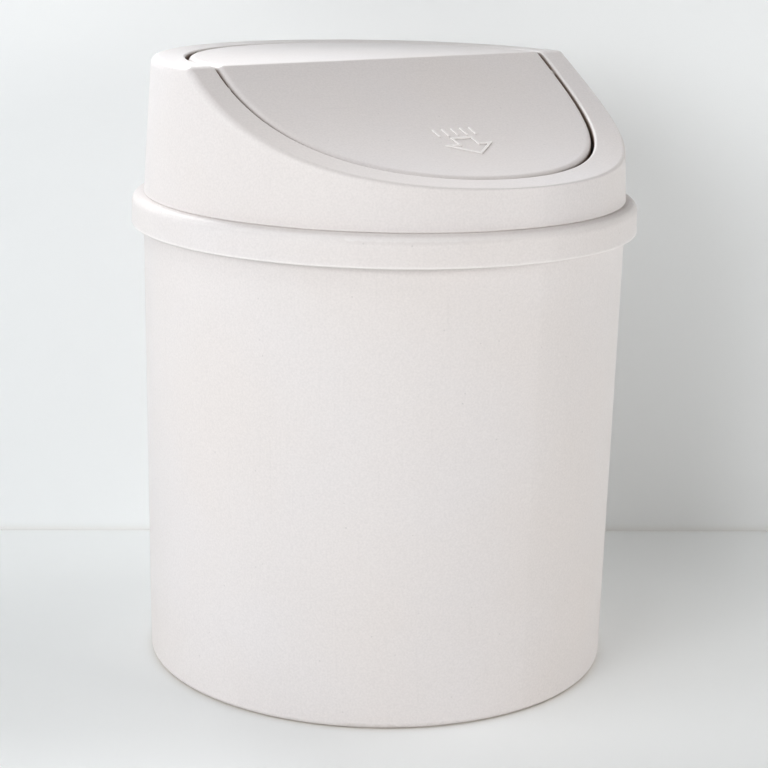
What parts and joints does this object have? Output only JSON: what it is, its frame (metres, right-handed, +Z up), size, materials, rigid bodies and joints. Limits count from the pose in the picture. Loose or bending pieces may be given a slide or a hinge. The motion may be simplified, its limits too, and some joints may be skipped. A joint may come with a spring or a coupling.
{
  "type": "wastebasket",
  "caption": "Small round swing-lid wastebasket: tapered plastic bucket with a turned-down rim, lift-off hood with a scooped top, and a flap that swings in its round mouth.",
  "frame": {"origin": "centre of the bucket's footprint on the floor: x and y on the bucket's axis, z on the foot ring", "axes": "+Z up along the bucket's axis, -Y towards the front, where the flap is pushed, +X to the right seen from the front, along the flap's pivot"},
  "size_m": [0.2, 0.2, 0.2417],
  "materials": {
    "bucket_plastic": "satin, very finely speckled off-white",
    "hood_plastic": "satin, very finely speckled off-white",
    "flap_plastic": "satin, very finely speckled off-white"
  },
  "bodies": {
    "bucket": {"bucket": "bucket_plastic"},
    "hood": {"lid_hood": "hood_plastic"},
    "flap": {"swing_flap": "flap_plastic"}
  },
  "joints": [
    {"name": "hood_lift", "type": "slide", "parent": "bucket", "child": "hood", "axis": [0, 0, 1], "range_m": [0, 0.12]},
    {"name": "flap_swing", "type": "hinge", "parent": "hood", "child": "flap", "pos_m": [0, -0.006, 0.231], "axis": [1, 0, 0], "range_deg": [0, 75]}
  ]
}
